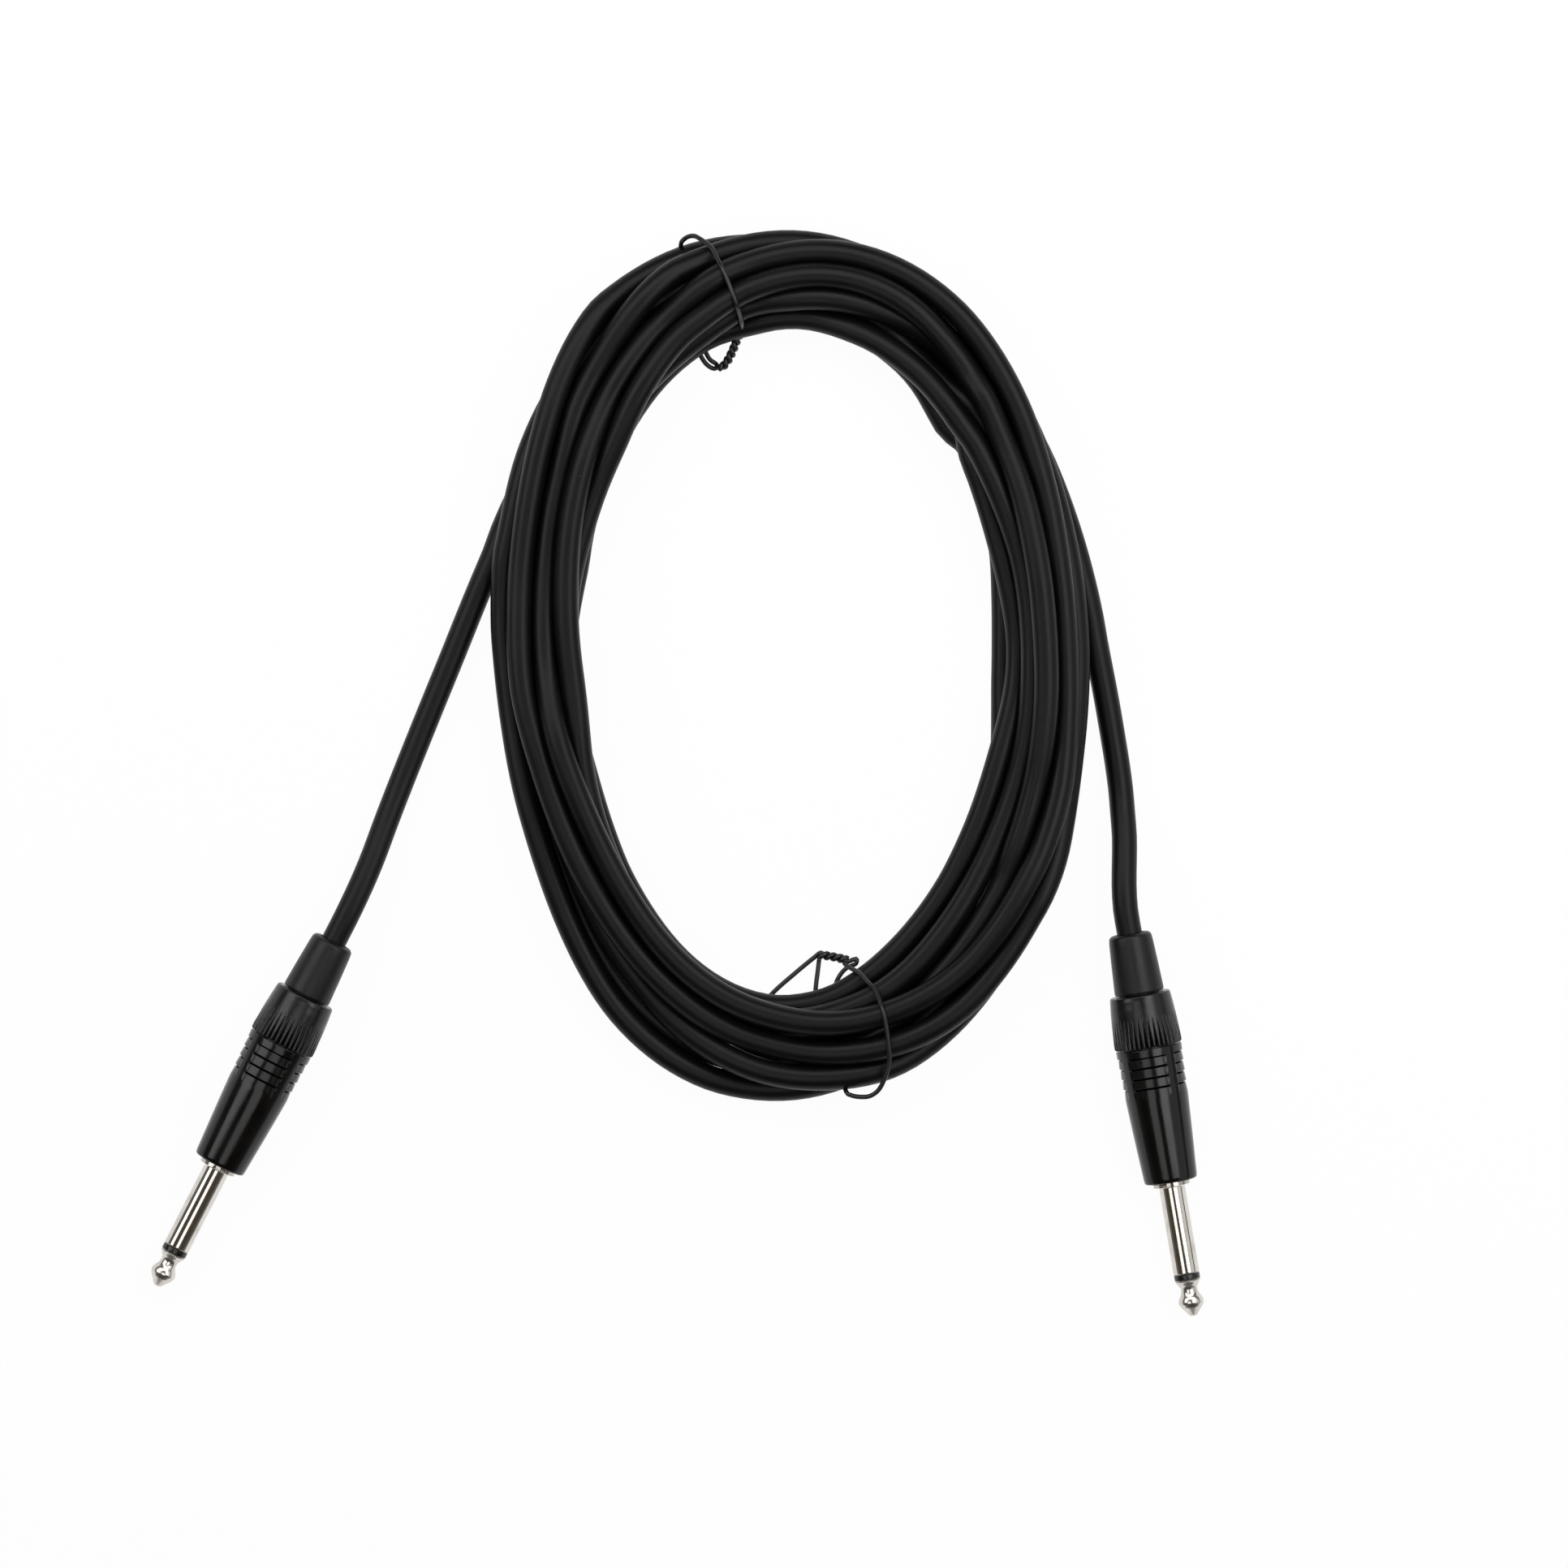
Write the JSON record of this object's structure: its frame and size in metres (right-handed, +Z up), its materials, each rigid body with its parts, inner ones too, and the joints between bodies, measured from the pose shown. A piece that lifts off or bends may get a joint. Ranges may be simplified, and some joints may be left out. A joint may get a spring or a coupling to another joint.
{
  "type": "instrument cable",
  "caption": "Coiled round instrument lead with a straight mono jack plug at each end, held in an oval hank by wire ties.",
  "frame": {"origin": "on the resting plane, at the middle of the lead's overall length and width", "axes": "+Z up from the resting plane; +Y along the oval coil's long axis, away from the plugs' tips; +X to the right-hand plug"},
  "size_m": [0.2548, 0.2642, 0.0232],
  "materials": {
    "cord_jacket": "matte black soft PVC jacket",
    "tie_wire": "black plastic coating over a soft wire",
    "nickel": "bright nickel plate",
    "black_plastic": "gloss black moulding",
    "clear_film": "thin insulating film",
    "tinned_metal": "tinned brass and copper",
    "white_plastic": "white moulding",
    "solder": "dull solder",
    "barrel_black": "satin black coated metal",
    "nut_black": "satin black moulding",
    "boot_rubber": "matte black rubber"
  },
  "bodies": {
    "cable": {"cord_tail_a": "cord_jacket", "cord_coil": "cord_jacket", "cord_tail_b": "cord_jacket", "tie_top": "tie_wire", "tie_bottom": "tie_wire", "tip_contact_a": "nickel", "tip_insulator_a": "black_plastic", "rod_insulator_a": "clear_film", "sleeve_a": "nickel", "ground_lug_a": "tinned_metal", "lug_insulator_a": "white_plastic", "tip_lug_a": "tinned_metal", "tip_solder_a": "solder", "ground_solder_a": "solder", "core_wire_a": "white_plastic", "shield_pigtail_a": "tinned_metal", "barrel_a": "barrel_black", "liner_a": "clear_film", "chuck_a": "white_plastic", "tip_contact_b": "nickel", "tip_insulator_b": "black_plastic", "rod_insulator_b": "clear_film", "sleeve_b": "nickel", "ground_lug_b": "tinned_metal", "lug_insulator_b": "white_plastic", "tip_lug_b": "tinned_metal", "tip_solder_b": "solder", "ground_solder_b": "solder", "core_wire_b": "white_plastic", "shield_pigtail_b": "tinned_metal", "barrel_b": "barrel_black", "liner_b": "clear_film", "chuck_b": "white_plastic"},
    "boot_a": {"boot_a": "boot_rubber"},
    "nut_a": {"back_nut_a": "nut_black"},
    "boot_b": {"boot_b": "boot_rubber"},
    "nut_b": {"back_nut_b": "nut_black"}
  },
  "joints": [
    {"name": "nut_a_back_off", "type": "slide", "parent": "cable", "child": "boot_a", "axis": [0.458, 0.8874, 0.0513], "range_m": [0, 0.005]},
    {"name": "nut_a_turn", "type": "hinge", "parent": "boot_a", "child": "nut_a", "pos_m": [-0.09285, -0.06028, 0.00864], "axis": [0.458, 0.8874, 0.0513], "range_deg": [0, 1800]},
    {"name": "nut_b_back_off", "type": "slide", "parent": "cable", "child": "boot_b", "axis": [-0.1665, 0.9847, 0.0513], "range_m": [0, 0.005]},
    {"name": "nut_b_turn", "type": "hinge", "parent": "boot_b", "child": "nut_b", "pos_m": [0.11281, -0.06052, 0.00864], "axis": [-0.1665, 0.9847, 0.0513], "range_deg": [0, 1800]}
  ],
  "couplings": [
    {"joint": "nut_a_turn", "follows": "nut_a_back_off", "rad_per_m": 6283.2},
    {"joint": "nut_b_turn", "follows": "nut_b_back_off", "rad_per_m": 6283.2}
  ]
}
